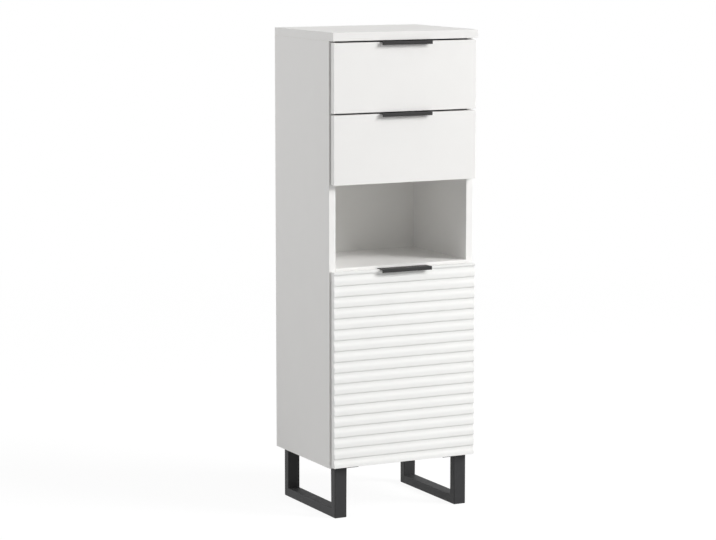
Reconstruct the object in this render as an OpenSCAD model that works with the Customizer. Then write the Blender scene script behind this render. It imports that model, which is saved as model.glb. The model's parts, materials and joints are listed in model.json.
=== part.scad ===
// Free-standing bathroom storage tower: two drawers over an open niche over a
// cupboard with a ribbed door, on two skid legs of rectangular steel tube.
// Millimetres. +X right, -Y front, +Z up, the floor at z = 0.

/* [Carcass] */
// Width across the outer faces of the side panels
cabinet_w = 366; // [320:1:420]
// Depth of the side panels, front edge to rear edge
cabinet_d = 281.5; // [278:0.5:340]
// Height from the floor to the top surface
total_h = 1100; // [1090:1:1180]
// Thickness of the side, bottom and shelf boards
board_t = 16; // [15:0.5:19]
// Thickness of the top board
top_t = 19; // [16:0.5:25]
// How far the top board reaches in front of the carcass
top_front_reach = 21.5; // [12:0.5:28]
// Thickness of the hardboard back
back_t = 3; // [2.5:0.5:5]
// Distance from the hardboard back to the rear edges of the sides
back_inset = 23; // [5:1:27]
// Depth of the grooves that hold hardboard
groove_depth = 6; // [4:0.5:8]

/* [Fronts] */
// Thickness of the drawer fronts
front_t = 16; // [15:0.5:19]
// Gap between the carcass and the back of the fronts
front_standoff = 2.5; // [1.9:0.1:3]
// Gap between one front and the next
front_gap = 4; // [2:0.1:4.5]
// How far the fronts stay inside the outer faces of the sides
side_reveal = 3.2; // [2.8:0.1:3.4]
// Height of each drawer front
drawer_front_h = 156; // [150:0.5:165]
// How far the lower drawer front hangs below the niche ceiling
ceiling_lap = 1.5; // [0:0.5:6]
// Clear height of the open niche
niche_h = 190; // [150:1:230]
// How much of the niche floor's edge shows above the door
door_drop = 6.5; // [4:0.5:12]
// How far the door stays above the underside of the carcass
door_lift = 3; // [0:0.5:8]

/* [Ribbed door] */
// Thickness of the door at its flat bands
door_t = 16.5; // [16.5:0.1:19]
// Height of one rib, from crease to crease
rib_pitch = 24.65; // [24:0.05:32]
// Depth of the creases behind the door's face
rib_depth = 3; // [2:0.1:4.2]
// Height of the rounded nose at the foot of each rib
rib_nose = 4.4; // [3:0.2:5]
// Height over which a rib curves away from its flat band
rib_crown = 7; // [5:0.5:8]
// Height over which it curves back upright
rib_hollow = 6.25; // [5:0.25:7.5]
// Height of the upright part below each crease
rib_cove = 2.5; // [1:0.5:3]
// Height of the lowest crease above the door's lower edge
rib_first = 19.9; // [5:0.1:24]
// Rounding of the door's rear edges, which lets it swing past the carcass
door_edge_r = 1.5; // [1.2:0.1:2.5]

/* [Drawers] */
// Thickness of the drawer sides and back
box_t = 12; // [11.5:0.5:15]
// Height of the drawer sides
box_h = 110; // [80:1:118]
// Length of the drawer sides
box_len = 250; // [235:1:252]
// Height of the drawer box above the lower edge of its front
box_lift = 28; // [24:1:34]
// Height of the drawer bottom above the lower edge of the sides
bottom_rise = 8; // [5:0.5:12]
// Thickness of the drawer bottom
bottom_t = 3; // [2.5:0.5:4]

/* [Drawer runners] */
// Room for the runner between a drawer side and the carcass
runner_room = 12.5; // [12:0.1:14]
// Length of the carcass half of each runner
rail_len = 250; // [230:1:252]
// Thickness of the runner's sheet steel
rail_t = 1.2; // [1:0.1:1.4]
// Radius of the runner's rollers
roller_r = 8.7; // [7:0.1:9]
// Width of the rollers
roller_w = 5.5; // [4.5:0.1:5.8]
// Radius of the studs that carry the rollers
stud_r = 2; // [1.5:0.1:2.5]

/* [Handles] */
// Length of each edge handle
handle_w = 126; // [96:1:192]
// Thickness of the handle's sheet
handle_t = 1.5; // [1.2:0.1:1.8]
// How far a handle stands out in front of a drawer front
handle_reach = 10; // [8:0.5:16]
// Height of the handle's grip lip, from its top surface
lip_h = 8; // [6:0.5:14]
// Height of the handle's fixing flange behind the front
flange_h = 14; // [12:0.5:20]
// Thickness of the fixing flange
flange_t = 1.2; // [1:0.1:1.5]

/* [Hinges] */
// Distance of the hinge centres from the door's ends
hinge_end = 90; // [70:1:120]
// Radius of the hinge cup
cup_r = 17.5; // [17:0.1:18]
// Depth of the hinge cup in the door
cup_depth = 11.5; // [11.5:0.1:12]
// Distance from the door's edge to the cup
cup_edge = 3; // [3:0.1:3.4]
// Distance of the hinge pin from the door's edge
pin_edge = 6.5; // [6.4:0.1:6.7]
// Depth of the hinge pin in the door
pin_depth = 8.5; // [8.3:0.1:8.6]
// Radius of the hinge pin
pin_r = 1; // [0.8:0.05:1.1]
// Thickness of the hinge arm's neck
neck_t = 2.4; // [2:0.1:2.4]
// Half the height of the hinge arm's neck
neck_half = 4; // [3:0.1:4]

/* [Adjustable shelf] */
// Height of the shelf's underside above the middle of the cupboard, below it if negative
shelf_height = -11.75; // [-70:0.25:50]
// How far the shelf stays behind the carcass front
shelf_setback = 15; // [8:1:40]

/* [Skid legs] */
// Height of the legs
leg_h = 117; // [90:1:150]
// Width of the tube, across the cabinet
tube_w = 30; // [20:1:40]
// Depth of the tube, in the plane of the frame
tube_d = 20; // [15:1:25]
// Wall of the tube
tube_wall = 1.5; // [1.2:0.1:2.5]
// Depth of each leg frame
frame_d = 267; // [220:1:275]
// Distance of a leg frame from the outer face of the side
frame_inset = 13.7; // [5:0.1:25]
// Distance of a leg frame from the carcass front
frame_setback = 0.5; // [0:0.5:8]
// Thickness of the mounting plates
plate_t = 3; // [2.5:0.5:4]
// How far a mounting plate reaches inwards past its tube
plate_tab = 30; // [24:1:40]
// Depth of a mounting plate
plate_d = 40; // [34:1:60]

/* [Fittings] */
// Radius of the cam fittings in the boards
cam_r = 7.5; // [6:0.1:7.5]
// Distance from a board's end to the middle of its cam
cam_reach = 34; // [24:1:34]
// Radius of the cam fittings in the drawer sides
small_cam_r = 6; // [5:0.1:6.5]
// Distance from a drawer side's end to the middle of its cam
small_cam_reach = 24; // [18:1:28]
// Distance from a board's front or rear to its nearest cam fitting
fitting_edge = 42; // [30:1:60]
// Distance between a cam fitting and the dowel beside it
dowel_step = 32; // [20:1:32]
// Radius of the wooden dowels
dowel_r = 4; // [3:0.5:4]
// Radius of the shelf pins
shelf_pin_r = 2.5; // [2:0.1:3]

/* [Clearances] */
// Play between a fastener and its hole
fit = 0.05; // [0.02:0.01:0.1]
// Play of a board in its groove
groove_play = 0.1; // [0.05:0.05:0.2]
// Gap between pieces that run past each other
running_gap = 0.3; // [0.2:0.05:0.4]

/* [Hidden] */
$fn = 48;

cut = 1;              // how far a cutting shape runs past the face it opens
sides = [-1, 1];      // left and right

// Carcass
outer_x = cabinet_w / 2;
inner_x = outer_x - board_t;
front_reach = front_standoff + front_t + handle_reach;
carcass_front = (front_reach - cabinet_d) / 2;
carcass_rear = carcass_front + cabinet_d;
back_y = carcass_rear - back_inset - back_t;
bottom_z = leg_h;
floor_board_z = bottom_z + board_t;
roof_z = total_h - top_t;

// Fronts
front_x = outer_x - side_reveal;
front_back = carcass_front - front_standoff;
front_face = front_back - front_t;
upper_z = roof_z - front_gap - drawer_front_h;
lower_z = upper_z - front_gap - drawer_front_h;
ceiling_z = lower_z + ceiling_lap;
niche_floor_z = ceiling_z - niche_h;
door_bottom = bottom_z + door_lift;
door_top = niche_floor_z - door_drop;
door_face = front_back - door_t;

// Boards that lie between the sides: underside height and rear edge
crossboards = [
    [bottom_z, carcass_rear],
    [niche_floor_z - board_t, back_y],
    [ceiling_z, back_y]
];
fitting_ys = [carcass_front + fitting_edge, back_y - fitting_edge];
dowel_ys = [fitting_ys[0] + dowel_step, fitting_ys[1] - dowel_step];
bolt_r = 3;
bolt_head_r = 3.4;
thread_r = 2.5;
thread_len = 11;
dowel_in_side = 10;
dowel_in_board = 18;
blind_play = 0.5;     // room at the bottom of a blind hole
bolt_head_len = 2;
cam_depth = 12.3;
small_cam_depth = 9.5;
cam_slot_w = 1.2;
cam_slot_depth = 2;
cam_past = 1;         // how far the bolt's way runs past the middle of the cam

// Ribs, upwards from a crease: a rounded nose, a flat band, a crown and a hollow whose arcs meet
// at the same tilt, and an upright part that ends in the next crease
rib_tilt = 2 * atan(rib_depth / (rib_crown + rib_hollow));
crown_r = rib_crown / sin(rib_tilt);
hollow_r = rib_hollow / sin(rib_tilt);
rib_steps = 6;
rib_last = ceil((door_top - door_bottom - rib_first) / rib_pitch);

// Drawer boxes and their runners
box_x = inner_x - runner_room;
box_inner_x = box_x - box_t;
box_rear = front_back + box_len;
rail_setback = 2;     // distance of the carcass half behind the carcass front
rail_front = carcass_front + rail_setback;
slide_setback = 0.5;  // distance of the drawer half behind the carcass front
slide_front = carcass_front + slide_setback;
flange_gap = 1.8;     // between the drawer half's flange and the top of the channel
slide_top_room = rail_t + flange_gap;
rail_depth = 9.5;     // how far the runner's flanges reach into the runner room
roller_end = 12;      // distance of a roller from its end of the runner
front_roller_y = rail_front + roller_end;
rear_roller_y = box_rear - roller_end;
stud_collar_r = 3.4;
stud_head_t = 1;
front_roller_gap = 1.5;   // between a front roller and its channel
rear_roller_gap = 2.2;    // between a rear roller and its drawer half
roller_rim = 1.6;
roller_hub = 2;
roller_recess = 0.8;
rail_screw_end = 28;      // distance of the outer screws from the ends of the channel
rail_screw_ys = [rail_screw_end, rail_len / 2, rail_len - rail_screw_end];
slide_screw_front = 40;
slide_screw_rear = 50;
slide_screw_ys = [slide_screw_front, box_len - slide_screw_rear];

// Screws: shank radius, length, head radius, head height
small_screw = [1.5, 9.5, 2.9, rail_t];
handle_screw = [1.5, 11, 2.8, flange_t];
leg_screw = [2, 12, 3.9, 2.2];
plate_screw = [1.75, 14, 3.3, 2];
cup_screw = [1.5, 10, 2.7, 0.8];
box_screw = [2.2, 34, 4.2, 2.6];
box_screw_low = 45;       // height of the lower screws above the lower edge of the sides
box_screw_high = 20;      // distance of the upper screws below the upper edge of the sides
box_screw_hs = [box_screw_low, box_h - box_screw_high];
front_fitting_low = 33;
front_fitting_high = 27.5;
front_fitting_hs = [front_fitting_low, box_h - front_fitting_high];
handle_screw_x = 48;
slot_reach = 0.55;        // length of a drive slot's arms, as a share of the head's radius
slot_sink = 0.6;          // depth of a drive slot, as a share of the head's height
slot_w = 0.7;

// Hinges
hinge_zs = [door_bottom + hinge_end, door_top - hinge_end];
pin_x = front_x - pin_edge;
pin_y = front_back - pin_depth;
cup_x = front_x - cup_edge - cup_r;
cup_wall = 1;
cup_floor = 0.8;
cup_flange_t = 0.8;
cup_wing_half = 29;
cup_wing_w = 15;
cup_screw_z = 24;
cup_screw_shift = 2;   // how far the screws lie outside the middle of the cup's wings
eye_r = 1.9;
neck_bend = 11;       // distance from the pin to the neck's bend
neck_shift = 0.5;     // how far the neck lies deeper in the cup than its pin
neck_play = 0.4;
ear_in = neck_half + neck_play;
ear_out = 8.8;
ear_r = 2.2;
arm_plate_t = 2.5;
arm_front = 6;        // distance of the arm's body behind the carcass front
arm_len = 46;
arm_half = 6;
arm_room = 9;
plate_half = 22;
plate_y = 37;
plate_w = 18;
plate_screw_z = 16;
plate_foot = 4;        // distance of the plate's foot behind the front of the arm's body

// Shelf and its pins
shelf_z = (floor_board_z + niche_floor_z - board_t) / 2 + shelf_height;
shelf_play = 1;
shelf_rear_play = 2;
shelf_pin_front = 48;  // distance of the front pins behind the carcass front
shelf_pin_rear = 42;   // distance of the rear pins in front of the back
shelf_pin_ys = [carcass_front + shelf_pin_front, back_y - shelf_pin_rear];
shelf_pin_in = 9;
shelf_pin_out = 8;
pin_hole_step = 32;
pin_hole_rows = [-2, -1, 0, 1, 2];

// Skid legs
tube_out = outer_x - frame_inset;
tube_in = tube_out - tube_w;
frame_front = carcass_front + frame_setback;
frame_rear = frame_front + frame_d;
plate_under = leg_h - plate_t;
tab_x = tube_in - plate_tab / 2;
leg_screw_in = 10;
leg_screw_ys = [
    frame_front + leg_screw_in, frame_front + plate_d - leg_screw_in,
    frame_rear - leg_screw_in, frame_rear - plate_d + leg_screw_in
];

// Bumpers
bumper_r = 4;
bumper_end = 16;

melamine = "#f1f0ee";
hardboard = "#e9e8e5";
black_steel = "#3b3b3c";
white_steel = "#e4e4e2";
zinc = "#b9babb";
nylon = "#f3f3f0";
beech = "#d8b98a";

// Helpers

module block(low, high) translate(low) cube(high - low);

module on_side(side) if (side < 0) mirror([1, 0, 0]) children(); else children();

// A screw with its head's face at z = 0, pointing down, and the hole it needs
module screw(size) {
    difference() {
        union() {
            translate([0, 0, -size[3]]) cylinder(r1 = size[0], r2 = size[2], h = size[3]);
            translate([0, 0, -size[1]]) cylinder(r = size[0], h = size[1]);
        }
        for (turn = [0, 90]) rotate(turn)
            translate([-size[2] * slot_reach, -slot_w / 2, -size[3] * slot_sink])
                cube([size[2] * 2 * slot_reach, slot_w, size[3]]);
    }
}

module screw_hole(size) {
    translate([0, 0, -size[3]])
        cylinder(r1 = size[0] + fit, r2 = size[2] + fit, h = size[3]);
    cylinder(r = size[2] + fit, h = cut);
    translate([0, 0, -size[1] - blind_play]) cylinder(r = size[0] + fit, h = size[1] + blind_play);
}

// A cam fitting: the bolt runs along +x from the joint, the cam opens downwards
module cam_bolt(reach) {
    rotate([0, 90, 0]) cylinder(r = thread_r, h = thread_len);
    translate([-reach, 0, 0]) rotate([0, 90, 0]) cylinder(r = bolt_r, h = reach);
    translate([-reach, 0, 0]) rotate([0, 90, 0]) cylinder(r = bolt_head_r, h = bolt_head_len);
}

module cam(reach, r, half_t, depth) {
    difference() {
        translate([-reach, 0, -half_t]) cylinder(r = r, h = depth);
        translate([-reach - cam_past, 0, 0]) rotate([0, 90, 0])
            cylinder(r = bolt_head_r + fit, h = r + cam_past + cut);
        for (turn = [0, 90]) translate([-reach, 0, -half_t]) rotate(turn)
            translate([-r * slot_reach, -cam_slot_w / 2, -cut])
                cube([r * 2 * slot_reach, cam_slot_w, cut + cam_slot_depth]);
    }
}

module bolt_thread_hole()
    rotate([0, 90, 0]) translate([0, 0, -cut]) cylinder(r = thread_r + fit, h = thread_len + cut + blind_play);

module cam_hole(reach, r, half_t, depth) {
    translate([-reach, 0, 0]) rotate([0, 90, 0]) cylinder(r = bolt_head_r + fit, h = reach + cut);
    translate([-reach, 0, -half_t - cut]) cylinder(r = r + fit, h = depth + cut + fit);
}

module dowel_shape(extra = 0, play = 0)
    translate([-dowel_in_board - extra, 0, 0])
        rotate([0, 90, 0]) cylinder(r = dowel_r + play, h = dowel_in_board + dowel_in_side + 2 * extra);

// Places of the right-hand fittings: +x points out of the board's end
module at_crossboard_bolts()
    for (board = crossboards) for (y = fitting_ys)
        translate([inner_x, y, board[0] + board_t / 2]) children();

module at_crossboard_dowels()
    for (board = crossboards) for (y = dowel_ys)
        translate([inner_x, y, board[0] + board_t / 2]) children();

module at_top_bolts()
    for (y = fitting_ys)
        translate([inner_x + board_t / 2, y, roof_z]) rotate([0, -90, 0]) mirror([0, 0, 1]) children();

module at_top_dowels()
    for (y = dowel_ys)
        translate([inner_x + board_t / 2, y, roof_z]) rotate([0, -90, 0]) children();

module at_rail_screws(z)
    for (y = rail_screw_ys)
        translate([inner_x - rail_t, rail_front + y, z]) rotate([0, -90, 0]) children();

module at_hinges() for (z = hinge_zs) translate([0, 0, z]) children();

module at_plate_screws()
    for (step = sides)
        translate([inner_x - arm_plate_t, carcass_front + plate_y, step * plate_screw_z])
            rotate([0, -90, 0]) children();

module at_leg_screws()
    for (y = leg_screw_ys) translate([tab_x, y, plate_under]) rotate([180, 0, 0]) children();

module at_shelf_pins()
    for (y = shelf_pin_ys) translate([inner_x, y, shelf_z - shelf_pin_r]) children();

module at_handle_screws(top)
    for (side = sides)
        translate([side * handle_screw_x, front_back + flange_t, top - flange_h / 2])
            rotate([-90, 0, 0]) children();

// Carcass

module side_panel() {
    color(melamine) difference() {
        block([inner_x, carcass_front, bottom_z], [outer_x, carcass_rear, roof_z]);
        block([inner_x - cut, back_y - groove_play, bottom_z - cut],
              [inner_x + groove_depth, back_y + back_t + groove_play, roof_z + cut]);
        at_crossboard_bolts() bolt_thread_hole();
        at_crossboard_dowels() dowel_shape(blind_play, fit);
        at_top_bolts() cam_hole(cam_reach, cam_r, board_t / 2, cam_depth);
        at_top_dowels() dowel_shape(blind_play, fit);
        for (z = [upper_z, lower_z]) at_rail_screws(runner_axis(z)) screw_hole(small_screw);
        at_hinges() at_plate_screws() screw_hole(plate_screw);
        for (row = pin_hole_rows) translate([0, 0, row * pin_hole_step]) at_shelf_pins()
            rotate([0, 90, 0]) translate([0, 0, -cut])
                cylinder(r = shelf_pin_r + fit, h = shelf_pin_in + blind_play + cut);
    }
}

module side_panel_left() on_side(-1) side_panel();
module side_panel_right() side_panel();

module top_panel() {
    color(melamine) difference() {
        block([-outer_x, carcass_front - top_front_reach, roof_z], [outer_x, carcass_rear, total_h]);
        block([-inner_x - groove_depth, back_y - groove_play, roof_z - cut],
              [inner_x + groove_depth, back_y + back_t + groove_play, roof_z + groove_depth]);
        for (side = sides) on_side(side) {
            at_top_bolts() bolt_thread_hole();
            at_top_dowels() dowel_shape(blind_play, fit);
        }
    }
}

module crossboard(board) {
    color(melamine) difference() {
        block([-inner_x, carcass_front, board[0]], [inner_x, board[1], board[0] + board_t]);
        for (side = sides) on_side(side) {
            at_crossboard_bolts() cam_hole(cam_reach, cam_r, board_t / 2, cam_depth);
            at_crossboard_dowels() dowel_shape(blind_play, fit);
        }
    }
}

module bottom_panel() {
    difference() {
        crossboard(crossboards[0]);
        block([-inner_x - cut, back_y - groove_play, floor_board_z - groove_depth],
              [inner_x + cut, back_y + back_t + groove_play, floor_board_z + cut]);
        for (side = sides) on_side(side) at_leg_screws() screw_hole(leg_screw);
    }
}

module niche_floor() crossboard(crossboards[1]);
module niche_ceiling() crossboard(crossboards[2]);

module back_panel() {
    back_x = inner_x + groove_depth - groove_play;
    color(hardboard) block([-back_x, back_y, floor_board_z - groove_depth + groove_play],
                           [back_x, back_y + back_t, roof_z + groove_depth - groove_play]);
}

module adjustable_shelf()
    color(melamine) block([-inner_x + shelf_play, carcass_front + shelf_setback, shelf_z],
                          [inner_x - shelf_play, back_y - shelf_rear_play, shelf_z + board_t]);

module shelf_pins()
    color(zinc) for (side = sides) on_side(side) at_shelf_pins() rotate([0, 90, 0]) {
        cylinder(r = shelf_pin_r, h = shelf_pin_in);
        translate([0, 0, -shelf_pin_out]) cylinder(r = shelf_pin_r, h = shelf_pin_out);
    }

module cam_locks()
    color(zinc) for (side = sides) on_side(side) {
        at_crossboard_bolts() cam(cam_reach, cam_r, board_t / 2, cam_depth);
        at_top_bolts() cam(cam_reach, cam_r, board_t / 2, cam_depth);
    }

module cam_bolts()
    color(zinc) for (side = sides) on_side(side) {
        at_crossboard_bolts() cam_bolt(cam_reach);
        at_top_bolts() cam_bolt(cam_reach);
    }

module dowels()
    color(beech) for (side = sides) on_side(side) {
        at_crossboard_dowels() dowel_shape();
        at_top_dowels() dowel_shape();
    }

// Skid legs

module leg_frame() {
    color(black_steel) difference() {
        union() {
            for (y = [frame_front, frame_rear - tube_d])
                block([tube_in, y, 0], [tube_out, y + tube_d, leg_h]);
            block([tube_in, frame_front, 0], [tube_out, frame_rear, tube_d]);
            for (y = [frame_front, frame_rear - plate_d])
                block([tube_in - plate_tab, y, plate_under], [tube_out, y + plate_d, leg_h]);
        }
        for (y = [frame_front, frame_rear - tube_d])
            block([tube_in + tube_wall, y + tube_wall, tube_wall],
                  [tube_out - tube_wall, y + tube_d - tube_wall, leg_h + cut]);
        block([tube_in + tube_wall, frame_front + tube_wall, tube_wall],
              [tube_out - tube_wall, frame_rear - tube_wall, tube_d - tube_wall]);
        at_leg_screws() screw_hole(leg_screw);
    }
}

module leg_frame_left() on_side(-1) leg_frame();
module leg_frame_right() leg_frame();

module leg_screws() color(zinc) for (side = sides) on_side(side) at_leg_screws() screw(leg_screw);

// Drawer runners. Heights are measured from the lower edge of a drawer's front.

function box_z(z) = z + box_lift;
function slide_flange_z(z) = box_z(z) + 2 * roller_r + running_gap;
function runner_axis(z) = slide_flange_z(z) - running_gap - roller_r;
function rail_floor_z(z) = runner_axis(z) - roller_r - running_gap;

roller_x = inner_x - rail_t - front_roller_gap - roller_w;   // inner face of a front roller
rear_roller_x = box_x + rail_t + rear_roller_gap;            // inner face of a rear roller

module stud(length) {
    cylinder(r = stud_r, h = length);
    translate([0, 0, length - stud_head_t]) cylinder(r = stud_collar_r, h = stud_head_t);
}

// The carcass half: a channel that carries a roller at its front end
module rail(z) {
    low = rail_floor_z(z) - rail_t;
    high = slide_flange_z(z) + slide_top_room + rail_t;
    rear = rail_front + rail_len;
    collar = front_roller_gap - running_gap;
    color(white_steel) {
        difference() {
            union() {
                block([inner_x - rail_t, rail_front, low], [inner_x, rear, high]);
                block([inner_x - rail_depth, rail_front, low], [inner_x, rear, low + rail_t]);
                block([inner_x - rail_depth, rail_front, high - rail_t], [inner_x, rear, high]);
            }
            at_rail_screws(runner_axis(z)) screw_hole(small_screw);
        }
        translate([inner_x - rail_t, front_roller_y, runner_axis(z)]) rotate([0, -90, 0]) {
            stud(front_roller_gap + roller_w + running_gap + stud_head_t);
            cylinder(r = stud_collar_r, h = collar);
        }
    }
}

module upper_rail_left() on_side(-1) rail(upper_z);
module upper_rail_right() rail(upper_z);
module lower_rail_left() on_side(-1) rail(lower_z);
module lower_rail_right() rail(lower_z);

module rail_screws()
    color(zinc) for (side = sides) on_side(side) for (z = [upper_z, lower_z])
        at_rail_screws(runner_axis(z)) screw(small_screw);

// A nylon roller with a recess in each side, lying on the yz plane
module roller() {
    rotate([0, 90, 0]) difference() {
        cylinder(r = roller_r, h = roller_w);
        translate([0, 0, -cut]) cylinder(r = stud_r + fit, h = roller_w + 2 * cut);
        for (z = [-cut, roller_w - roller_recess]) translate([0, 0, z]) difference() {
            cylinder(r = roller_r - roller_rim, h = cut + roller_recess);
            translate([0, 0, -cut]) cylinder(r = stud_r + roller_hub, h = 3 * cut + roller_recess);
        }
    }
}

module rollers(x, y, z)
    color(nylon) for (side = sides) on_side(side) translate([x, y, runner_axis(z)]) roller();

module upper_front_rollers() rollers(roller_x, front_roller_y, upper_z);
module lower_front_rollers() rollers(roller_x, front_roller_y, lower_z);
module upper_rear_rollers() rollers(rear_roller_x, rear_roller_y, upper_z);
module lower_rear_rollers() rollers(rear_roller_x, rear_roller_y, lower_z);

module at_slide_screws(z)
    for (y = slide_screw_ys)
        translate([box_x + rail_t, slide_front + y, box_z(z) + bottom_rise / 2])
            rotate([0, 90, 0]) children();

// The drawer half: it wraps the lower edge of the side and rides on the front roller
module slide(z) {
    low = box_z(z) - rail_t;
    flange = slide_flange_z(z);
    collar = rear_roller_gap - running_gap;
    color(white_steel) {
        difference() {
            union() {
                block([box_x, slide_front, low], [box_x + rail_t, box_rear, flange + rail_t]);
                block([box_inner_x, slide_front, low], [box_x + rail_t, box_rear, box_z(z)]);
                block([box_x, slide_front, flange], [box_x + rail_depth, box_rear, flange + rail_t]);
            }
            at_slide_screws(z) screw_hole(small_screw);
        }
        translate([box_x + rail_t, rear_roller_y, runner_axis(z)]) rotate([0, 90, 0]) {
            stud(rear_roller_gap + roller_w + running_gap + stud_head_t);
            cylinder(r = stud_collar_r, h = collar);
        }
    }
}

module upper_slide_left() on_side(-1) slide(upper_z);
module upper_slide_right() slide(upper_z);
module lower_slide_left() on_side(-1) slide(lower_z);
module lower_slide_right() slide(lower_z);

module slide_screws(z) color(zinc) for (side = sides) on_side(side) at_slide_screws(z) screw(small_screw);
module upper_slide_screws() slide_screws(upper_z);
module lower_slide_screws() slide_screws(lower_z);

// Drawers

module at_front_fittings(z)
    for (h = front_fitting_hs)
        translate([box_x - box_t / 2, front_back, box_z(z) + h]) rotate([-90, 0, -90]) children();

module at_box_screws(z)
    for (h = box_screw_hs)
        translate([box_x, box_rear - box_t / 2, box_z(z) + h]) rotate([0, 90, 0]) children();

module drawer_front(z) {
    top = z + drawer_front_h;
    groove_z = box_z(z) + bottom_rise;
    color(melamine) difference() {
        block([-front_x, front_face, z], [front_x, front_back, top]);
        block([-box_inner_x - groove_depth, front_back - groove_depth, groove_z - groove_play],
              [box_inner_x + groove_depth, front_back + cut, groove_z + bottom_t + groove_play]);
        for (side = sides) on_side(side) at_front_fittings(z) bolt_thread_hole();
        at_handle_screws(top) screw_hole(handle_screw);
    }
}

module drawer_side(z) {
    groove_z = box_z(z) + bottom_rise;
    color(melamine) difference() {
        block([box_inner_x, front_back, box_z(z)], [box_x, box_rear, box_z(z) + box_h]);
        block([box_inner_x - cut, front_back - cut, groove_z - groove_play],
              [box_inner_x + groove_depth, box_rear + cut, groove_z + bottom_t + groove_play]);
        at_front_fittings(z) cam_hole(small_cam_reach, small_cam_r, box_t / 2, small_cam_depth);
        at_box_screws(z) screw_hole(box_screw);
        at_slide_screws(z) screw_hole(small_screw);
    }
}

module drawer_back(z)
    color(melamine) difference() {
        block([-box_inner_x, box_rear - box_t, box_z(z) + bottom_rise + bottom_t + groove_play],
              [box_inner_x, box_rear, box_z(z) + box_h]);
        for (side = sides) on_side(side) at_box_screws(z) screw_hole(box_screw);
    }

module drawer_bottom(z) {
    bottom_x = box_inner_x + groove_depth - groove_play;
    low = box_z(z) + bottom_rise;
    color(hardboard) block([-bottom_x, front_back - groove_depth + groove_play, low],
                           [bottom_x, box_rear, low + bottom_t]);
}

module box_screws(z) color(zinc) for (side = sides) on_side(side) at_box_screws(z) screw(box_screw);

module front_fittings(z)
    color(zinc) for (side = sides) on_side(side) at_front_fittings(z) {
        cam_bolt(small_cam_reach);
        cam(small_cam_reach, small_cam_r, box_t / 2, small_cam_depth);
    }

module upper_drawer_front() drawer_front(upper_z);
module upper_drawer_side_left() on_side(-1) drawer_side(upper_z);
module upper_drawer_side_right() drawer_side(upper_z);
module upper_drawer_back() drawer_back(upper_z);
module upper_drawer_bottom() drawer_bottom(upper_z);
module upper_drawer_handle() handle(upper_z + drawer_front_h);
module upper_handle_screws() handle_screws(upper_z + drawer_front_h);
module upper_box_screws() box_screws(upper_z);
module upper_front_fittings() front_fittings(upper_z);
module lower_drawer_front() drawer_front(lower_z);
module lower_drawer_side_left() on_side(-1) drawer_side(lower_z);
module lower_drawer_side_right() drawer_side(lower_z);
module lower_drawer_back() drawer_back(lower_z);
module lower_drawer_bottom() drawer_bottom(lower_z);
module lower_drawer_handle() handle(lower_z + drawer_front_h);
module lower_handle_screws() handle_screws(lower_z + drawer_front_h);
module lower_box_screws() box_screws(lower_z);
module lower_front_fittings() front_fittings(lower_z);

// Edge handles: a flange behind the front, a plate over its top edge and a grip lip

module handle(top) {
    half = handle_w / 2;
    lip_y = front_face - handle_reach;
    color(black_steel) difference() {
        union() {
            block([-half, lip_y + handle_t, top], [half, front_back, top + handle_t]);
            block([-half, lip_y, top + handle_t - lip_h], [half, lip_y + handle_t, top]);
            block([-half, front_back, top - flange_h], [half, front_back + flange_t, top + handle_t]);
            translate([-half, lip_y + handle_t, top]) rotate([0, 90, 0]) cylinder(r = handle_t, h = handle_w);
        }
        at_handle_screws(top) screw_hole(handle_screw);
    }
}

module handle_screws(top) color(zinc) at_handle_screws(top) screw(handle_screw);

// Ribbed door

function crease_z(i) = door_bottom + rib_first + i * rib_pitch;
function arc_fall(r, rise) = r - sqrt(r * r - rise * rise);

rib_outline = [
    for (i = [-1:rib_last]) let (cove_z = crease_z(i) + rib_pitch - rib_cove) each concat(
        [for (k = [0:rib_steps]) let (turn = 90 * k / rib_steps)
            [door_face + rib_depth * (1 - sin(turn)), crease_z(i) + rib_nose * (1 - cos(turn))]],
        [for (k = [0:rib_steps]) let (rise = rib_crown * k / rib_steps)
            [door_face + arc_fall(crown_r, rise), cove_z - rib_hollow - rib_crown + rise]],
        [for (k = [rib_steps - 1:-1:0]) let (rise = rib_hollow * k / rib_steps)
            [door_face + rib_depth - arc_fall(hollow_r, rise), cove_z - rise]]
    )
];

module rear_edge_round(x, side)
    translate([x, front_back, door_bottom - cut]) difference() {
        block([side < 0 ? -cut : -door_edge_r, -door_edge_r, 0],
              [side < 0 ? door_edge_r : cut, cut, door_top - door_bottom + 2 * cut]);
        translate([-side * door_edge_r, -door_edge_r, -cut])
            cylinder(r = door_edge_r, h = door_top - door_bottom + 4 * cut);
    }

module at_cup_screws()
    for (step = sides)
        translate([cup_x - cup_wing_w / 2 - cup_screw_shift, front_back + cup_flange_t, step * cup_screw_z])
            rotate([-90, 0, 0]) children();

module door_panel() {
    color(melamine) difference() {
        intersection() {
            block([-front_x, door_face - cut, door_bottom], [front_x, front_back, door_top]);
            translate([-front_x, 0, 0]) rotate([90, 0, 90]) linear_extrude(2 * front_x)
                polygon(concat(
                    [[front_back + cut, crease_z(-1)]],
                    rib_outline,
                    [[front_back + cut, crease_z(rib_last) + rib_pitch]]
                ));
        }
        for (side = sides) rear_edge_round(side * front_x, side);
        at_hinges() {
            translate([cup_x, front_back + cut, 0]) rotate([90, 0, 0])
                cylinder(r = cup_r + fit, h = cut + cup_depth + fit);
            at_cup_screws() screw_hole(cup_screw);
        }
        at_handle_screws(door_top) screw_hole(handle_screw);
    }
}

module door_handle() handle(door_top);
module door_handle_screws() handle_screws(door_top);

// Concealed hinges on the right-hand side

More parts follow.
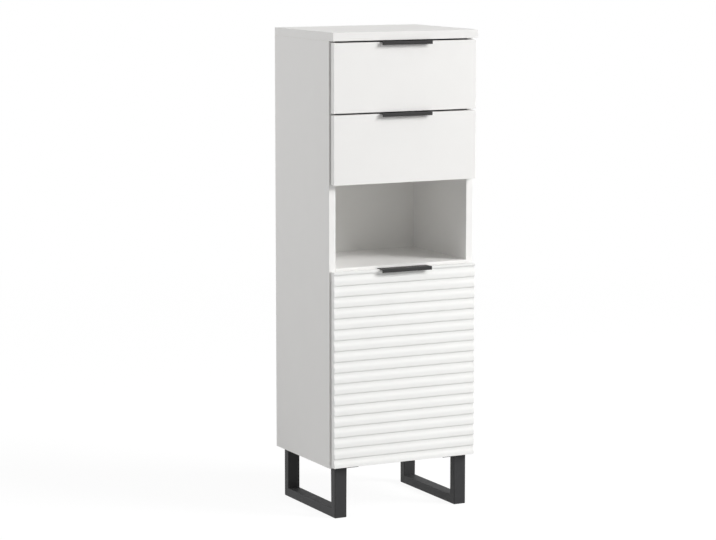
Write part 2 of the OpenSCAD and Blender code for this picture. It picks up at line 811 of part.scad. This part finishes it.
module hinge_cup() {
    color(zinc) difference() {
        union() {
            difference() {
                union() {
                    translate([cup_x, front_back, 0]) rotate([90, 0, 0]) cylinder(r = cup_r, h = cup_depth);
                    block([cup_x - cup_wing_w, front_back, -cup_wing_half],
                          [cup_x, front_back + cup_flange_t, cup_wing_half]);
                }
                translate([cup_x, front_back + cut, 0]) rotate([90, 0, 0])
                    cylinder(r = cup_r - cup_wall, h = cut + cup_depth - cup_floor);
            }
            intersection() {
                for (side = sides) {
                    z = side < 0 ? -ear_out : ear_in;
                    translate([pin_x, pin_y, z]) cylinder(r = ear_r, h = ear_out - ear_in);
                    block([pin_x - ear_r, front_back - cup_depth, z],
                          [pin_x + 2 * ear_r, pin_y, z + ear_out - ear_in]);
                    block([pin_x, pin_y - ear_r, z], [pin_x + 2 * ear_r, pin_y + ear_r, z + ear_out - ear_in]);
                }
                translate([cup_x, front_back, 0]) rotate([90, 0, 0]) cylinder(r = cup_r, h = cup_depth);
            }
        }
        translate([pin_x, pin_y, -ear_out - cut]) cylinder(r = pin_r, h = 2 * (ear_out + cut));
        at_cup_screws() screw_hole(cup_screw);
    }
}

module hinge_cups() at_hinges() hinge_cup();

module hinge_pins()
    color(zinc) at_hinges() translate([pin_x, pin_y, -ear_out]) cylinder(r = pin_r, h = 2 * ear_out);

module hinge_cup_screws() color(zinc) at_hinges() at_cup_screws() screw(cup_screw);

// The arm: an eye on the pin, a neck that bends back into the cabinet, and a body on the plate
module hinge_arm() {
    neck_y = pin_y - neck_shift;
    bend_x = pin_x - neck_bend;
    body_y = carcass_front + arm_front;
    body_x = inner_x - arm_plate_t;
    color(zinc) difference() {
        union() {
            translate([pin_x, pin_y, -neck_half]) cylinder(r = eye_r, h = 2 * neck_half);
            block([bend_x - neck_t, neck_y - neck_t / 2, -neck_half],
                  [pin_x, neck_y + neck_t / 2, neck_half]);
            block([bend_x - neck_t, neck_y - neck_t / 2, -neck_half],
                  [bend_x, body_y + neck_t, neck_half]);
            block([body_x - arm_room, body_y, -arm_half], [body_x, body_y + arm_len, arm_half]);
        }
        translate([pin_x, pin_y, -neck_half - cut]) cylinder(r = pin_r + fit, h = 2 * (neck_half + cut));
    }
}

module hinge_arms() at_hinges() hinge_arm();

module hinge_plate() {
    y = carcass_front + plate_y;
    color(zinc) difference() {
        union() {
            block([inner_x - arm_plate_t, y - plate_w / 2, -plate_half],
                  [inner_x, y + plate_w / 2, plate_half]);
            block([inner_x - arm_plate_t, carcass_front + arm_front + plate_foot, -arm_half],
                  [inner_x, carcass_front + arm_front + arm_len, arm_half]);
        }
        at_plate_screws() screw_hole(plate_screw);
    }
}

module hinge_plates() at_hinges() hinge_plate();
module hinge_plate_screws() color(zinc) at_hinges() at_plate_screws() screw(plate_screw);

module door_bumpers()
    color(nylon) for (z = [door_bottom + bumper_end, door_top - bumper_end])
        translate([-inner_x - board_t / 2, carcass_front, z]) rotate([90, 0, 0])
            cylinder(r = bumper_r, h = front_standoff - running_gap);

side_panel_left();
side_panel_right();
top_panel();
bottom_panel();
niche_ceiling();
niche_floor();
back_panel();
adjustable_shelf();
shelf_pins();
cam_locks();
cam_bolts();
dowels();
leg_frame_left();
leg_frame_right();
leg_screws();
upper_rail_left();
upper_rail_right();
lower_rail_left();
lower_rail_right();
rail_screws();
upper_front_rollers();
lower_front_rollers();
hinge_plates();
hinge_arms();
hinge_plate_screws();
door_bumpers();
door_panel();
door_handle();
door_handle_screws();
hinge_cups();
hinge_pins();
hinge_cup_screws();
upper_drawer_front();
upper_drawer_side_left();
upper_drawer_side_right();
upper_drawer_back();
upper_drawer_bottom();
upper_drawer_handle();
upper_handle_screws();
upper_slide_left();
upper_slide_right();
upper_slide_screws();
upper_box_screws();
upper_front_fittings();
upper_rear_rollers();
lower_drawer_front();
lower_drawer_side_left();
lower_drawer_side_right();
lower_drawer_back();
lower_drawer_bottom();
lower_drawer_handle();
lower_handle_screws();
lower_slide_left();
lower_slide_right();
lower_slide_screws();
lower_box_screws();
lower_front_fittings();
lower_rear_rollers();
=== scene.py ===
# Bathroom storage tower: drawers, niche, ribbed door and skid legs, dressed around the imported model.
import json
import math
import bmesh
import bpy
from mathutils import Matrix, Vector


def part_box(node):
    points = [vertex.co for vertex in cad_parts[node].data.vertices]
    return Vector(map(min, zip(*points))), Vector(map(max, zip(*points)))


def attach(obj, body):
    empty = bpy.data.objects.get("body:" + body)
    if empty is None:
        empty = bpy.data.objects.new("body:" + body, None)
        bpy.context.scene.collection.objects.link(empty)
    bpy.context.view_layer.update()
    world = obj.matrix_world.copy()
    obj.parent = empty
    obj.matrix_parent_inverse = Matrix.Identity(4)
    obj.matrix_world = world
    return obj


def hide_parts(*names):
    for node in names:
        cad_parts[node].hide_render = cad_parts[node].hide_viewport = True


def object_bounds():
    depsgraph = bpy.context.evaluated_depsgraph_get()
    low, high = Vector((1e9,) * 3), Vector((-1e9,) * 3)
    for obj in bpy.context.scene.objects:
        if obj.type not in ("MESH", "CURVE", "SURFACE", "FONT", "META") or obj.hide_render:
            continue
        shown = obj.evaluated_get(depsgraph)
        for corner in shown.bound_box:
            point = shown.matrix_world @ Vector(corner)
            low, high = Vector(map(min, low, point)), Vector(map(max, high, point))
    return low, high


mm = 0.001

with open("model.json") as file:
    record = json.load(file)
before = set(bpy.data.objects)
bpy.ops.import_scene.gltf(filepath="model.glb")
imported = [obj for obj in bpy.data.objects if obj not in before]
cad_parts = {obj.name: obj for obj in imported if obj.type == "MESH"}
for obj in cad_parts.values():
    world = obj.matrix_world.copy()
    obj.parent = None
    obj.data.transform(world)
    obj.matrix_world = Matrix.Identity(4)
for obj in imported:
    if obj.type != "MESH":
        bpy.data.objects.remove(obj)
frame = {"nodes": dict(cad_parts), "record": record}
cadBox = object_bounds()
nodes = frame["nodes"]
bodyOf = {node: body for body, group in frame["record"]["behaviour"]["bodies"].items() for node in group}
print("frame loaded:", len(nodes), "pieces")


# Camera: in front of the cabinet's left edge and a little above its top, through a long lens

camera = {
    "place": (-2.674, -5.181, 1.3626),
    "yaw": 26.89,          # degrees, clockwise from straight ahead
    "pitch": 8.0,          # degrees, down
    "lens": 128.0,
    "sensorWidth": 36,     # mm
    "farthest": 60,        # m, nothing beyond this is drawn
}


def placeCamera():
    data = bpy.data.cameras.new("camera")
    data.sensor_width = camera["sensorWidth"]
    data.lens = camera["lens"]
    data.clip_end = camera["farthest"]
    cam = bpy.data.objects.new("camera", data)
    cam.location = camera["place"]
    cam.rotation_euler = (math.radians(90 - camera["pitch"]), 0, math.radians(-camera["yaw"]))
    bpy.context.scene.collection.objects.link(cam)
    bpy.context.scene.camera = cam


placeCamera()


# Materials

def linear(hexColour, alpha=1.0):
    channels = [int(hexColour[i:i + 2], 16) / 255 for i in (1, 3, 5)]
    return [c / 12.92 if c <= 0.04045 else ((c + 0.055) / 1.055) ** 2.4 for c in channels] + [alpha]


def addNode(tree, kind, values=None, links=None, **settings):
    node = tree.nodes.new(kind)
    for name, value in settings.items():
        setattr(node, name, value)
    for socket, value in (values or {}).items():
        node.inputs[socket].default_value = value
    for socket, source in (links or {}).items():
        tree.links.new(source, node.inputs[socket])
    return node


def newMaterial(name):
    material = bpy.data.materials.new(name)
    material.use_nodes = True
    tree = material.node_tree
    shader = tree.nodes["Principled BSDF"]
    place = addNode(tree, "ShaderNodeTexCoord").outputs["Object"]
    return material, tree, shader, place


def perMetre(millimetres):
    return 1 / (millimetres * mm)     # a pattern's scale at which its features are that wide


def addNoise(tree, place, width, detail, roughness=0.5):
    noise = addNode(tree, "ShaderNodeTexNoise",
                    {"Scale": perMetre(width), "Detail": detail, "Roughness": roughness},
                    {"Vector": place})
    return noise.outputs["Fac"]


def setTone(tree, shader, pattern, colour):
    # a mix node's sockets 6 and 7 are its two colours, and its output 2 is their blend
    tone = addNode(tree, "ShaderNodeMix", {6: linear(colour[0]), 7: linear(colour[1])},
                   {"Factor": pattern}, data_type="RGBA")
    tree.links.new(tone.outputs[2], shader.inputs["Base Color"])


def setGloss(tree, shader, pattern, lowest, highest):
    gloss = addNode(tree, "ShaderNodeMapRange", {"To Min": lowest, "To Max": highest}, {"Value": pattern})
    tree.links.new(gloss.outputs["Result"], shader.inputs["Roughness"])


def setRelief(tree, shader, pattern, strength, depth):
    bump = addNode(tree, "ShaderNodeBump", {"Strength": strength, "Distance": depth * mm},
                   {"Height": pattern})
    tree.links.new(bump.outputs["Normal"], shader.inputs["Normal"])


# Melamine-faced board: pressed paper film with a fine pearl texture, a soft sheen and no grain
melamine = {
    "ior": 1.5,
    "hazeWidth": 70,       # mm, the slow change of tone over a board
    "hazeDetail": 3,
    "spread": 0.04,        # how far the roughness changes with the haze
    "pearlDetail": 2,
    "pearlStrength": 0.6,
}


def makeMelamine(name, colour, roughness, pearlWidth=0.9, pearlDepth=0.012):
    # the pearl texture's width and depth are in mm
    material, tree, shader, place = newMaterial(name)
    shader.inputs["IOR"].default_value = melamine["ior"]
    haze = addNoise(tree, place, melamine["hazeWidth"], melamine["hazeDetail"])
    pearl = addNoise(tree, place, pearlWidth, melamine["pearlDetail"])
    setTone(tree, shader, haze, colour)
    setGloss(tree, shader, haze, roughness - melamine["spread"], roughness + melamine["spread"])
    setRelief(tree, shader, pearl, melamine["pearlStrength"], pearlDepth)
    return material


# Raw chipboard edge: pressed flakes of wood, light and dark, with a rough open surface
rawEdge = {
    "colour": ("#8d7350", "#cdb48a"),
    "roughness": 0.85,
    "flakeWidth": 2.2,     # mm
    "gritWidth": 0.8,      # mm
    "gritDetail": 4,
    "gritShare": 0.5,      # of the pattern, the rest being flakes
    "strength": 0.7,
    "depth": 0.15,         # mm, of the open surface
}


def makeChipboard():
    material, tree, shader, place = newMaterial("rawChipboard")
    shader.inputs["Roughness"].default_value = rawEdge["roughness"]
    flakes = addNode(tree, "ShaderNodeTexVoronoi", {"Scale": perMetre(rawEdge["flakeWidth"])},
                     {"Vector": place})
    grit = addNoise(tree, place, rawEdge["gritWidth"], rawEdge["gritDetail"])
    blend = addNode(tree, "ShaderNodeMix", {"Factor": rawEdge["gritShare"]},
                    {2: flakes.outputs["Distance"], 3: grit})     # its two plain values
    setTone(tree, shader, blend.outputs[0], rawEdge["colour"])
    setRelief(tree, shader, blend.outputs[0], rawEdge["strength"], rawEdge["depth"])
    return material


# Bare hardboard back: brown pressed fibre with the faint pattern of the screen it was pressed on
pressedFibre = {
    "colour": ("#6f5238", "#94714e"),
    "roughness": 0.75,
    "fibreWidth": 3,       # mm
    "fibreDetail": 6,
    "fibreRoughness": 0.7,
    "screenPitch": 1.6,    # mm
    "unevenness": 0.15,    # of the screen's pattern
    "strength": 0.5,
    "depth": 0.08,         # mm, of that pattern
}


def makeHardboard():
    material, tree, shader, place = newMaterial("brownHardboard")
    shader.inputs["Roughness"].default_value = pressedFibre["roughness"]
    fibre = addNoise(tree, place, pressedFibre["fibreWidth"], pressedFibre["fibreDetail"],
                     pressedFibre["fibreRoughness"])
    screen = addNode(tree, "ShaderNodeTexVoronoi",
                     {"Scale": perMetre(pressedFibre["screenPitch"]),
                      "Randomness": pressedFibre["unevenness"]},
                     {"Vector": place})
    setTone(tree, shader, fibre, pressedFibre["colour"])
    setRelief(tree, shader, screen.outputs["Distance"], pressedFibre["strength"], pressedFibre["depth"])
    return material


# Powder-coated steel: a thick matt coat with orange peel, sprayed and baked
powderCoat = {
    "ior": 1.5,
    "cloudWidth": 25,      # mm, the slow change of tone along a tube
    "cloudDetail": 3,
    "spread": 0.05,        # how far the roughness changes with the cloud
    "peelDetail": 2,
    "peelStrength": 0.8,
}


def makePowderCoat(name, colour, roughness, peelWidth=1.1, peelDepth=0.03, shine=0.5):
    # the orange peel's width and depth are in mm
    material, tree, shader, place = newMaterial(name)
    shader.inputs["IOR"].default_value = powderCoat["ior"]
    shader.inputs["Specular IOR Level"].default_value = shine
    cloud = addNoise(tree, place, powderCoat["cloudWidth"], powderCoat["cloudDetail"])
    peel = addNoise(tree, place, peelWidth, powderCoat["peelDetail"])
    setTone(tree, shader, cloud, colour)
    setGloss(tree, shader, cloud, roughness - powderCoat["spread"], roughness + powderCoat["spread"])
    setRelief(tree, shader, peel, powderCoat["peelStrength"], peelDepth)
    return material


# Plated steel: bright zinc or satin nickel over pressed steel, with fine drawing marks
plating = {
    "markWidth": 0.7,      # mm
    "markDetail": 3,
    "brighter": 0.08,      # how far the roughness falls and rises with the marks
    "duller": 0.1,
}


def makePlated(name, colour, roughness):
    material, tree, shader, place = newMaterial(name)
    shader.inputs["Metallic"].default_value = 1.0
    shader.inputs["Base Color"].default_value = linear(colour)
    marks = addNoise(tree, place, plating["markWidth"], plating["markDetail"])
    setGloss(tree, shader, marks, roughness - plating["brighter"], roughness + plating["duller"])
    return material


# Moulded nylon: milky white, slightly waxy
mouldedNylon = {
    "colour": "#f0f0ec",
    "ior": 1.53,
    "shiny": 0.3,          # roughness of the shiny and of the dull patches
    "dull": 0.42,
    "patchWidth": 4,       # mm
    "patchDetail": 2,
}


def makeNylon():
    material, tree, shader, place = newMaterial("whiteNylon")
    shader.inputs["IOR"].default_value = mouldedNylon["ior"]
    shader.inputs["Base Color"].default_value = linear(mouldedNylon["colour"])
    patches = addNoise(tree, place, mouldedNylon["patchWidth"], mouldedNylon["patchDetail"])
    setGloss(tree, shader, patches, mouldedNylon["shiny"], mouldedNylon["dull"])
    return material


# Turned beech: pale pinkish wood with short dark flecks along the grain
turnedBeech = {
    "colour": ("#c9a878", "#e3c79c"),
    "roughness": 0.6,
    "fleckLength": 9,      # mm, along the dowel
    "fleckDetail": 4,
    "slenderness": 12,     # length of a fleck over its width
}


def makeBeech():
    material, tree, shader, place = newMaterial("turnedBeech")
    shader.inputs["Roughness"].default_value = turnedBeech["roughness"]
    slender = turnedBeech["slenderness"]
    stretch = addNode(tree, "ShaderNodeMapping", {"Scale": (1, slender, slender)}, {"Vector": place})
    fleck = addNoise(tree, stretch.outputs["Vector"], turnedBeech["fleckLength"], turnedBeech["fleckDetail"])
    setTone(tree, shader, fleck, turnedBeech["colour"])
    return material


boardWhite = makeMelamine("whiteMelamine", ("#efeeec", "#f3f2f0"), roughness=0.6)
frontWhite = makeMelamine("whiteFrontMelamine", ("#f1f0ee", "#f4f3f1"), roughness=0.55)
foilWhite = makeMelamine("whiteFoil", ("#f5f5f3", "#f8f8f6"), roughness=0.5,
                         pearlWidth=1.4, pearlDepth=0.01)
# edge band lighter than the board faces: painted light on front edges that lie in shade behind the fronts
bandWhiteWithPaintedLight = makeMelamine("whiteEdgeBandWithPaintedLight", ("#f8f7f5", "#fbfaf8"), roughness=0.55,
                         pearlWidth=0.6, pearlDepth=0.006)
chipboard = makeChipboard()
hardboardWhite = makeMelamine("whiteLacqueredHardboard", ("#ecebe8", "#f1f0ed"), roughness=0.52,
                              pearlWidth=1.6, pearlDepth=0.02)
hardboardBrown = makeHardboard()
legCoat = makePowderCoat("anthracitePowderCoat", ("#3a3a3b", "#3f3f40"), roughness=0.6, shine=0.22)
handleCoat = makePowderCoat("anthraciteHandleCoat", ("#3a3a3a", "#404040"), roughness=0.5,
                            peelWidth=0.8, peelDepth=0.02, shine=0.2)
runnerCoat = makePowderCoat("whiteEpoxyCoat", ("#e2e2df", "#e9e9e6"), roughness=0.35,
                            peelWidth=0.9, peelDepth=0.02)
zinc = makePlated("brightZincPlate", "#c9cacc", roughness=0.32)
nickel = makePlated("satinNickelPlate", "#cdc9c2", roughness=0.28)
nylon = makeNylon()
beech = makeBeech()
print("materials made")


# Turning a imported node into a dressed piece: a merged copy, with its long outer edges rounded

dressing = {
    "weld": 0.002,         # mm, corners closer than this become one
    "flat": 1,             # degrees, faces closer than this in angle become one
    "crease": 35,          # degrees, edges sharper than this stay sharp in the shading
    "fold": 50,            # degrees, edges sharper than this are folds or corners to round
    "onSkin": 0.02,        # mm, how near to the outside a face or edge counts as on it
}


def mergedCopy(node):
    mesh = bmesh.new()
    mesh.from_mesh(nodes[node].data)
    bmesh.ops.remove_doubles(mesh, verts=mesh.verts, dist=dressing["weld"] * mm)
    bmesh.ops.dissolve_limit(mesh, angle_limit=math.radians(dressing["flat"]), use_dissolve_boundaries=False,
                             verts=mesh.verts, edges=mesh.edges, delimit={"NORMAL"})
    return mesh


def finishPiece(mesh, name, node, materials):
    for face in mesh.faces:
        face.smooth = True
    for edge in mesh.edges:
        if len(edge.link_faces) == 2:
            edge.smooth = edge.calc_face_angle(0) < math.radians(dressing["crease"])
    data = bpy.data.meshes.new(name)
    mesh.to_mesh(data)
    mesh.free()
    for material in materials:
        data.materials.append(material)
    piece = bpy.data.objects.new(name, data)
    bpy.context.scene.collection.objects.link(piece)
    even = piece.modifiers.new("evenShading", "WEIGHTED_NORMAL")
    even.keep_sharp = True
    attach(piece, bodyOf[node])
    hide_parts(node)


def roundEdges(mesh, chosen, radius, segments=2):
    edges = [edge for edge in mesh.edges if len(edge.link_faces) == 2 and chosen(edge)]
    bmesh.ops.bevel(mesh, geom=edges, offset=radius, offset_type="OFFSET", segments=segments,
                    profile=0.5, affect="EDGES", material=-1)


def onCorner(edge, low, high):
    # true for an edge that runs along an edge of the box from low to high
    held = 0
    for axis in range(3):
        ends = [vert.co[axis] for vert in edge.verts]
        if any(all(abs(end - side[axis]) < dressing["onSkin"] * mm for end in ends) for side in (low, high)):
            held += 1
    return held >= 2


# Boards: melamine faces, edge band on the edges that show, bare chipboard on the others. The band is a
# lighter white than the faces: painted light that lifts the front edges, which sit in shade behind the
# fronts

board = {
    "rounding": 0.4,       # mm, the scraped edge of the band
    "banded": {
        "side_panel_left": ("front", "bottom"),
        "side_panel_right": ("front", "bottom"),
        "top_panel": ("front", "left", "right", "back"),
        "bottom_panel": ("front",),
        "niche_ceiling": ("front",),
        "niche_floor": ("front",),
        "adjustable_shelf": ("front",),
    },
}
facing = {     # the axis and the direction in which each side looks
    "left": (0, -1), "right": (0, 1), "front": (1, -1), "back": (1, 1), "bottom": (2, -1), "top": (2, 1),
}
faceSlot, bandSlot, bareSlot = range(3)     # the order of the materials on a board


def thinAxis(low, high):
    size = high - low
    return min(range(3), key=lambda axis: size[axis])


def makeBoard(node, banded, faceMaterial, bandMaterial, rounding):
    low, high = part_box(node)
    flatAxis = thinAxis(low, high)
    mesh = mergedCopy(node)
    for face in mesh.faces:
        normal = face.normal
        axis = max(range(3), key=lambda a: abs(normal[a]))
        place = face.calc_center_median()[axis]
        onSkin = min(abs(place - low[axis]), abs(place - high[axis])) < dressing["onSkin"] * mm
        if axis == flatAxis:
            face.material_index = faceSlot if onSkin else bareSlot
            continue
        side = next(name for name, (a, sign) in facing.items() if a == axis and sign * normal[axis] > 0)
        face.material_index = bandSlot if onSkin and side in banded else bareSlot
    roundEdges(mesh, lambda edge: onCorner(edge, low, high)
               and any(face.material_index == bandSlot for face in edge.link_faces), rounding * mm)
    finishPiece(mesh, node + "Board", node, (faceMaterial, bandMaterial, chipboard))


for node, banded in board["banded"].items():
    # all boards but the top take the lighter band: painted light on their shaded front edges
    band = boardWhite if node == "top_panel" else bandWhiteWithPaintedLight     # the top keeps one tone all round
    makeBoard(node, banded, boardWhite, band, board["rounding"])
print("carcass boards made")


# Drawer fronts: banded all round, with the finer melamine of a visible face

drawerFront = {"rounding": 0.4}

for level in ("upper", "lower"):
    makeBoard(level + "_drawer_front", tuple(facing), frontWhite, frontWhite,
              drawerFront["rounding"])


# Drawer boxes: thinner board with a band along the top edge only, on white hardboard bottoms

drawerBox = {"rounding": 0.4}

for level in ("upper", "lower"):
    for piece in ("side_left", "side_right", "back"):
        makeBoard(level + "_drawer_" + piece, ("top",), boardWhite, boardWhite,
                  drawerBox["rounding"])
print("drawers made")


# Hardboard: white lacquer on the side that shows, bare brown fibre behind

hardboard = {"back_panel": "front", "upper_drawer_bottom": "top", "lower_drawer_bottom": "top"}


def makeHardboardPanel(node, whiteSide):
    mesh = mergedCopy(node)
    axis, sign = facing[whiteSide]
    for face in mesh.faces:
        facesOut = face.normal[axis] * sign > 0.5     # within 60 degrees of the white side
        face.material_index = 0 if facesOut else 1     # white or brown
    finishPiece(mesh, node + "Sheet", node, (hardboardWhite, hardboardBrown))


for node, whiteSide in hardboard.items():
    makeHardboardPanel(node, whiteSide)
print("hardboard made")


# Ribbed door: the foil is drawn over every rib, so creases and corners are a little round

door = {
    "corner": 0.3,         # mm, rounding of the creases and outer edges
    "frontDepth": 3.5,     # mm, just behind the bottom of the creases
}


def makeDoor():
    node = "door_panel"
    mesh = mergedCopy(node)
    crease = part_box(node)[0].y + door["frontDepth"] * mm

    def shaped(edge):
        inFront = all(vert.co.y < crease for vert in edge.verts)
        isSharp = edge.calc_face_angle(0) > math.radians(dressing["crease"])
        return inFront and isSharp

    roundEdges(mesh, shaped, door["corner"] * mm)
    finishPiece(mesh, "ribbedDoor", node, (foilWhite,))


makeDoor()
print("door made")


# Skid legs: rectangular tube with its drawn corner radii, plates on top, all powder-coated together

legs = {
    "tubeCorner": 1.8,     # mm, outer corner radius of the tube
    "plateEdge": 0.5,      # mm
    "plateThickness": 3,   # mm
    "shortest": 12,        # mm, edges shorter than this stay as they are
    "tubeSegments": 4,
    "below": 1,            # mm, edges that start this far under the plate belong to the tube
    "level": 0.1,          # mm, edges within this of the plate's underside belong to the plate
}


def longFold(shortest, test=None):
    # picks the sharp edges of at least that length, in mm, that also pass the test
    def chosen(edge):
        if edge.calc_length() < shortest * mm or edge.calc_face_angle(0) < math.radians(dressing["fold"]):
            return False
        return test is None or test(edge)
    return chosen


def makeLeg(node):
    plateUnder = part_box(node)[1].z - legs["plateThickness"] * mm
    mesh = mergedCopy(node)

    def onTube(edge):
        return edge.is_convex and min(vert.co.z for vert in edge.verts) < plateUnder - legs["below"] * mm

    def onPlate(edge):
        return edge.is_convex and min(vert.co.z for vert in edge.verts) > plateUnder - legs["level"] * mm

    roundEdges(mesh, longFold(legs["shortest"], onTube), legs["tubeCorner"] * mm, legs["tubeSegments"])
    roundEdges(mesh, longFold(legs["shortest"], onPlate), legs["plateEdge"] * mm)
    finishPiece(mesh, node + "Tube", node, (legCoat,))


for node in ("leg_frame_left", "leg_frame_right"):
    makeLeg(node)
print("legs made")


# Edge handles: folded sheet, with deburred edges under the coat

handle = {
    "deburr": 0.35,        # mm
    "shortest": 5,         # mm, edges shorter than this stay as they are
}

for node in ("upper_drawer_handle", "lower_drawer_handle", "door_handle"):
    mesh = mergedCopy(node)
    roundEdges(mesh, longFold(handle["shortest"]), handle["deburr"] * mm)
    finishPiece(mesh, node + "Fold", node, (handleCoat,))
print("handles made")


# Drawer runners: roll-formed sheet, white epoxy over softened folds

runner = {
    "fold": 0.4,           # mm, outer radius of the coated folds
    "shortest": 60,        # mm, only the folds along the runner are rounded
}

for level in ("upper", "lower"):
    for half in ("rail", "slide"):
        for hand in ("left", "right"):
            node = "_".join((level, half, hand))
            mesh = mergedCopy(node)
            roundEdges(mesh, longFold(runner["shortest"]), runner["fold"] * mm)
            finishPiece(mesh, node + "Channel", node, (runnerCoat,))
print("runners made")


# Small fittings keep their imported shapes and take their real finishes

finishes = {
    "zinc_fastener": zinc,
    "nickel_hinge": nickel,
    "nylon": nylon,
    "clear_bumper": nylon,
    "beech": beech,
}
for sub in frame["record"]["subparts"]:
    finish = finishes.get(sub["material_slot"])
    if finish:
        data = nodes[sub["node"]].data
        data.materials.clear()
        data.materials.append(finish)
print("fittings finished")


# Floor, background and lights

studio = {
    "floorWidth": 40.0,        # m
    "floorWhite": 0.92,        # how much of the floor's white is its own
    "floorFaint": 0.12,        # how much the lamps add to it, so that a faint shadow stays
    "fadeFrom": 1.5,           # m, from here the floor turns into the white background
    "fadeTo": 4.0,             # m, and from here it is nothing else
    "floorTone": "#c9c9c9",    # what the object sees of it
    "fill": 0.24,              # strength of the light from all round
}
lamps = {
    "keyLamp": {"direction": (0.64, -0.62, 0.46), "distance": 8.0, "size": 3.8, "watts": 563},
    "sideLamp": {"direction": (-1, -0.1, 0.6), "distance": 4.6, "size": 1.6, "watts": 27},
    "topLamp": {"direction": (0.1, -0.2, 1), "distance": 4.2, "size": 1.5, "watts": 11},
    "frontLamp": {"direction": (0.05, -1, 0.1), "distance": 4.2, "size": 1.2, "watts": 4},
    "backLamp": {"direction": (-0.7, 1, 0.15), "distance": 6.0, "size": 3.0, "watts": 90},
}
notMirrored = ("keyLamp",)     # in the gloss it would turn the pale top white, seen from behind


def seenDirectly(tree):
    # 1 for rays from the camera or off gloss and glass, 0 for the light that falls on the object
    path = addNode(tree, "ShaderNodeLightPath")
    seen = path.outputs["Is Camera Ray"]
    for ray in ("Is Glossy Ray", "Is Transmission Ray"):
        seen = addNode(tree, "ShaderNodeMath", links={0: seen, 1: path.outputs[ray]},
                       operation="MAXIMUM").outputs[0]
    return seen


def makeFloor():
    # Painted studio floor: matt and pale, lifted to white where it is seen
    material = bpy.data.materials.new("paleStudioFloor")
    material.use_nodes = True
    tree = material.node_tree
    tree.nodes.clear()
    matt = addNode(tree, "ShaderNodeBsdfDiffuse", {"Color": linear(studio["floorTone"])})
    faint = addNode(tree, "ShaderNodeBsdfDiffuse", {"Color": [studio["floorFaint"]] * 3 + [1]})
    glow = addNode(tree, "ShaderNodeEmission", {"Color": [1, 1, 1, 1], "Strength": studio["floorWhite"]})
    lifted = addNode(tree, "ShaderNodeAddShader", links={0: faint.outputs[0], 1: glow.outputs[0]})
    white = addNode(tree, "ShaderNodeEmission", {"Color": [1, 1, 1, 1], "Strength": 1.0})
    place = addNode(tree, "ShaderNodeTexCoord")
    reach = addNode(tree, "ShaderNodeVectorMath", links={0: place.outputs["Object"]}, operation="LENGTH")
    fade = addNode(tree, "ShaderNodeMapRange",
                   {"From Min": studio["fadeFrom"], "From Max": studio["fadeTo"]},
                   {"Value": reach.outputs["Value"]})
    seen = addNode(tree, "ShaderNodeMixShader", links={0: fade.outputs["Result"], 1: lifted.outputs[0],
                                                       2: white.outputs[0]})
    mix = addNode(tree, "ShaderNodeMixShader", links={0: seenDirectly(tree), 1: matt.outputs[0],
                                                      2: seen.outputs[0]})
    addNode(tree, "ShaderNodeOutputMaterial", links={"Surface": mix.outputs[0]})
    mesh = bmesh.new()
    bmesh.ops.create_grid(mesh, x_segments=1, y_segments=1, size=studio["floorWidth"] / 2)
    data = bpy.data.meshes.new("floor")
    mesh.to_mesh(data)
    mesh.free()
    data.materials.append(material)
    floor = bpy.data.objects.new("floor", data)
    bpy.context.scene.collection.objects.link(floor)


def makeWorld():
    world = bpy.data.worlds.new("studio")
    bpy.context.scene.world = world
    world.use_nodes = True
    tree = world.node_tree
    tree.nodes.clear()
    fill = addNode(tree, "ShaderNodeBackground", {"Color": [1, 1, 1, 1], "Strength": studio["fill"]})
    white = addNode(tree, "ShaderNodeBackground", {"Color": [1, 1, 1, 1], "Strength": 1.0})
    mix = addNode(tree, "ShaderNodeMixShader", links={0: seenDirectly(tree), 1: fill.outputs[0],
                                                      2: white.outputs[0]})
    addNode(tree, "ShaderNodeOutputWorld", links={"Surface": mix.outputs[0]})


def addLamp(name, lamp):
    aim = Vector((0, 0, (cadBox[0].z + cadBox[1].z) / 2))
    data = bpy.data.lights.new(name, "AREA")
    data.shape = "DISK"
    data.size = lamp["size"]
    data.energy = lamp["watts"]
    light = bpy.data.objects.new(name, data)
    light.location = aim + Vector(lamp["direction"]).normalized() * lamp["distance"]
    light.rotation_euler = (aim - light.location).to_track_quat("-Z", "Y").to_euler()
    light.visible_glossy = name not in notMirrored
    bpy.context.scene.collection.objects.link(light)


makeFloor()
makeWorld()
for name, lamp in lamps.items():
    addLamp(name, lamp)
bpy.context.scene.view_settings.view_transform = "Standard"
print("studio made")
